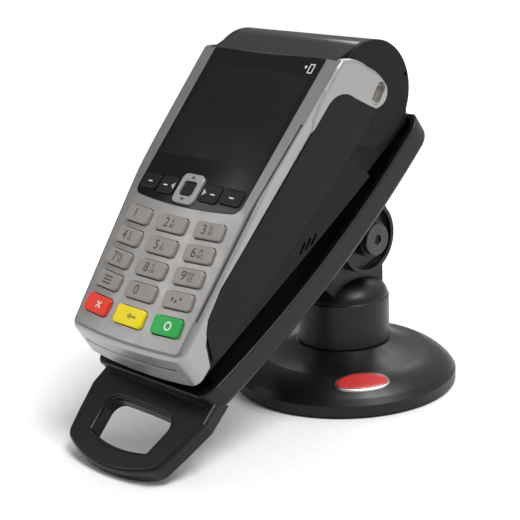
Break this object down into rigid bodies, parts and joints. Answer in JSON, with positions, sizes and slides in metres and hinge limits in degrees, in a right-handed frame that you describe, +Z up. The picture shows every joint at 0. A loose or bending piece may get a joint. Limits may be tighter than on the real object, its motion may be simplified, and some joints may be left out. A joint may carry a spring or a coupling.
{
  "type": "card payment terminal",
  "caption": "Handheld card payment terminal with receipt printer, resting in a tilting, swivelling cradle on a weighted round base.",
  "frame": {"origin": "centre of the base's underside, where the stand rests on the counter", "axes": "+Z up, -Y towards the user who reads the display, +X to that user's right"},
  "size_m": [0.0974, 0.1843, 0.1542],
  "materials": {
    "stand_black": "satin moulded black with a fine texture",
    "ballast_iron": "bare casting",
    "rubber_black": "matt",
    "steel": "zinc plated",
    "steel_black": "blackened",
    "usb_metal": "tinned",
    "nylon": "natural",
    "fibre": "matt",
    "cradle_black": "satin moulded black with a fine texture",
    "silver_casing": "satin metallic paint",
    "black_casing": "fine spark-eroded texture",
    "black_wall": "satin",
    "gloss_black": "polished",
    "display_window": "smoked window, polished",
    "lcd_dark": "unlit",
    "board_green": "solder mask",
    "reader_black": "matt",
    "ceramic_head": "glazed",
    "thermal_paper": "smooth",
    "tear_steel": "blackened",
    "key_grey": "satin",
    "key_red": "satin",
    "key_yellow": "satin",
    "key_green": "satin",
    "function_black": "satin",
    "nav_silver": "satin metallic paint"
  },
  "bodies": {
    "base": {"base_shell": "stand_black", "ballast_plate": "ballast_iron", "base_pad": "rubber_black", "base_screws": "steel", "swivel_bush": "nylon"},
    "neck": {"neck": "stand_black", "swivel_bolt": "steel", "friction_washers": "fibre"},
    "cradle": {"cradle": "cradle_black", "tilt_bolt": "steel_black", "tilt_nut": "steel", "adapter_plate": "cradle_black", "adapter_screws": "steel", "front_shell": "silver_casing", "rear_shell": "black_casing", "swipe_wall": "black_wall", "left_grip": "black_wall", "display_panel": "gloss_black", "display_glass": "display_window", "lcd_module": "lcd_dark", "keypad_mat": "rubber_black", "keypad_board": "board_green", "main_board": "board_green", "mag_head": "steel", "card_reader": "reader_black", "battery_pack": "reader_black", "battery_cover": "black_casing", "printer_frame": "steel", "print_head": "ceramic_head", "feed_motor": "steel", "usb_port": "usb_metal", "casing_screws": "steel", "lid_pin": "steel"},
    "lid": {"paper_lid": "gloss_black", "tear_bar": "tear_steel"},
    "platen": {"platen_roller": "rubber_black", "platen_gear": "nylon"},
    "drive": {"drive_gear": "nylon"},
    "roll": {"paper_roll": "thermal_paper"},
    "key_1_cap": {"key_1": "key_grey"},
    "key_2_cap": {"key_2": "key_grey"},
    "key_3_cap": {"key_3": "key_grey"},
    "key_4_cap": {"key_4": "key_grey"},
    "key_5_cap": {"key_5": "key_grey"},
    "key_6_cap": {"key_6": "key_grey"},
    "key_7_cap": {"key_7": "key_grey"},
    "key_8_cap": {"key_8": "key_grey"},
    "key_9_cap": {"key_9": "key_grey"},
    "key_menu_cap": {"key_menu": "key_grey"},
    "key_0_cap": {"key_0": "key_grey"},
    "key_dot_cap": {"key_dot": "key_grey"},
    "key_cancel_cap": {"key_cancel": "key_red"},
    "key_clear_cap": {"key_clear": "key_yellow"},
    "key_enter_cap": {"key_enter": "key_green"},
    "function_key_1_cap": {"function_key_1": "function_black"},
    "function_key_2_cap": {"function_key_2": "function_black"},
    "function_key_3_cap": {"function_key_3": "function_black"},
    "function_key_4_cap": {"function_key_4": "function_black"},
    "ok_cap": {"ok_key": "function_black"},
    "nav_ring": {"nav_key": "nav_silver"}
  },
  "joints": [
    {"name": "neck_swivel", "type": "hinge", "parent": "base", "child": "neck", "pos_m": [0, 0, 0.0196], "axis": [0, 0, 1], "continuous": true},
    {"name": "cradle_tilt", "type": "hinge", "parent": "neck", "child": "cradle", "pos_m": [0, 0, 0.067], "axis": [1, 0, 0], "range_deg": [-45, 0]},
    {"name": "lid_open", "type": "hinge", "parent": "cradle", "child": "lid", "pos_m": [0, 0.00091, 0.13829], "axis": [-1, 0, 0], "range_deg": [0, 100]},
    {"name": "platen_spin", "type": "hinge", "parent": "lid", "child": "platen", "pos_m": [0, -0.02976, 0.14467], "axis": [1, 0, 0], "continuous": true},
    {"name": "drive_spin", "type": "hinge", "parent": "cradle", "child": "drive", "pos_m": [0, -0.03162, 0.13578], "axis": [1, 0, 0], "continuous": true},
    {"name": "roll_spin", "type": "hinge", "parent": "cradle", "child": "roll", "pos_m": [0, -0.017, 0.13049], "axis": [1, 0, 0], "continuous": true},
    {"name": "key_1_press", "type": "slide", "parent": "cradle", "child": "key_1_cap", "axis": [0.0497, 0.806, -0.5899], "range_m": [0, 0.0009], "stiffness_N_per_m": 1500},
    {"name": "key_2_press", "type": "slide", "parent": "cradle", "child": "key_2_cap", "axis": [0, 0.807, -0.5906], "range_m": [0, 0.0009], "stiffness_N_per_m": 1500},
    {"name": "key_3_press", "type": "slide", "parent": "cradle", "child": "key_3_cap", "axis": [-0.0497, 0.806, -0.5899], "range_m": [0, 0.0009], "stiffness_N_per_m": 1500},
    {"name": "key_4_press", "type": "slide", "parent": "cradle", "child": "key_4_cap", "axis": [0.0497, 0.806, -0.5899], "range_m": [0, 0.0009], "stiffness_N_per_m": 1500},
    {"name": "key_5_press", "type": "slide", "parent": "cradle", "child": "key_5_cap", "axis": [0, 0.807, -0.5906], "range_m": [0, 0.0009], "stiffness_N_per_m": 1500},
    {"name": "key_6_press", "type": "slide", "parent": "cradle", "child": "key_6_cap", "axis": [-0.0497, 0.806, -0.5899], "range_m": [0, 0.0009], "stiffness_N_per_m": 1500},
    {"name": "key_7_press", "type": "slide", "parent": "cradle", "child": "key_7_cap", "axis": [0.0497, 0.806, -0.5899], "range_m": [0, 0.0009], "stiffness_N_per_m": 1500},
    {"name": "key_8_press", "type": "slide", "parent": "cradle", "child": "key_8_cap", "axis": [0, 0.807, -0.5906], "range_m": [0, 0.0009], "stiffness_N_per_m": 1500},
    {"name": "key_9_press", "type": "slide", "parent": "cradle", "child": "key_9_cap", "axis": [-0.0497, 0.806, -0.5899], "range_m": [0, 0.0009], "stiffness_N_per_m": 1500},
    {"name": "key_menu_press", "type": "slide", "parent": "cradle", "child": "key_menu_cap", "axis": [0.0497, 0.806, -0.5899], "range_m": [0, 0.0009], "stiffness_N_per_m": 1500},
    {"name": "key_0_press", "type": "slide", "parent": "cradle", "child": "key_0_cap", "axis": [0, 0.807, -0.5906], "range_m": [0, 0.0009], "stiffness_N_per_m": 1500},
    {"name": "key_dot_press", "type": "slide", "parent": "cradle", "child": "key_dot_cap", "axis": [-0.0497, 0.806, -0.5899], "range_m": [0, 0.0009], "stiffness_N_per_m": 1500},
    {"name": "key_cancel_press", "type": "slide", "parent": "cradle", "child": "key_cancel_cap", "axis": [0.0497, 0.806, -0.5899], "range_m": [0, 0.0009], "stiffness_N_per_m": 1500},
    {"name": "key_clear_press", "type": "slide", "parent": "cradle", "child": "key_clear_cap", "axis": [0, 0.807, -0.5906], "range_m": [0, 0.0009], "stiffness_N_per_m": 1500},
    {"name": "key_enter_press", "type": "slide", "parent": "cradle", "child": "key_enter_cap", "axis": [-0.0497, 0.806, -0.5899], "range_m": [0, 0.0009], "stiffness_N_per_m": 1500},
    {"name": "function_key_1_press", "type": "slide", "parent": "cradle", "child": "function_key_1_cap", "axis": [0.057, 0.7349, -0.6758], "range_m": [0, 0.0006], "stiffness_N_per_m": 1500},
    {"name": "function_key_2_press", "type": "slide", "parent": "cradle", "child": "function_key_2_cap", "axis": [0.0303, 0.7358, -0.6766], "range_m": [0, 0.0006], "stiffness_N_per_m": 1500},
    {"name": "function_key_3_press", "type": "slide", "parent": "cradle", "child": "function_key_3_cap", "axis": [-0.0303, 0.7358, -0.6766], "range_m": [0, 0.0006], "stiffness_N_per_m": 1500},
    {"name": "function_key_4_press", "type": "slide", "parent": "cradle", "child": "function_key_4_cap", "axis": [-0.057, 0.7349, -0.6758], "range_m": [0, 0.0006], "stiffness_N_per_m": 1500},
    {"name": "ok_press", "type": "slide", "parent": "cradle", "child": "ok_cap", "axis": [0, 0.7361, -0.6769], "range_m": [0, 0.0007], "stiffness_N_per_m": 1500},
    {"name": "nav_rock", "type": "hinge", "parent": "cradle", "child": "nav_ring", "pos_m": [0, -0.08342, 0.10109], "axis": [1, 0, 0], "range_deg": [-3, 3], "stiffness_Nm_per_rad": 0.12}
  ],
  "couplings": [
    {"joint": "drive_spin", "follows": "platen_spin", "ratio": -0.66667},
    {"joint": "roll_spin", "follows": "platen_spin", "ratio": 0.21053}
  ]
}
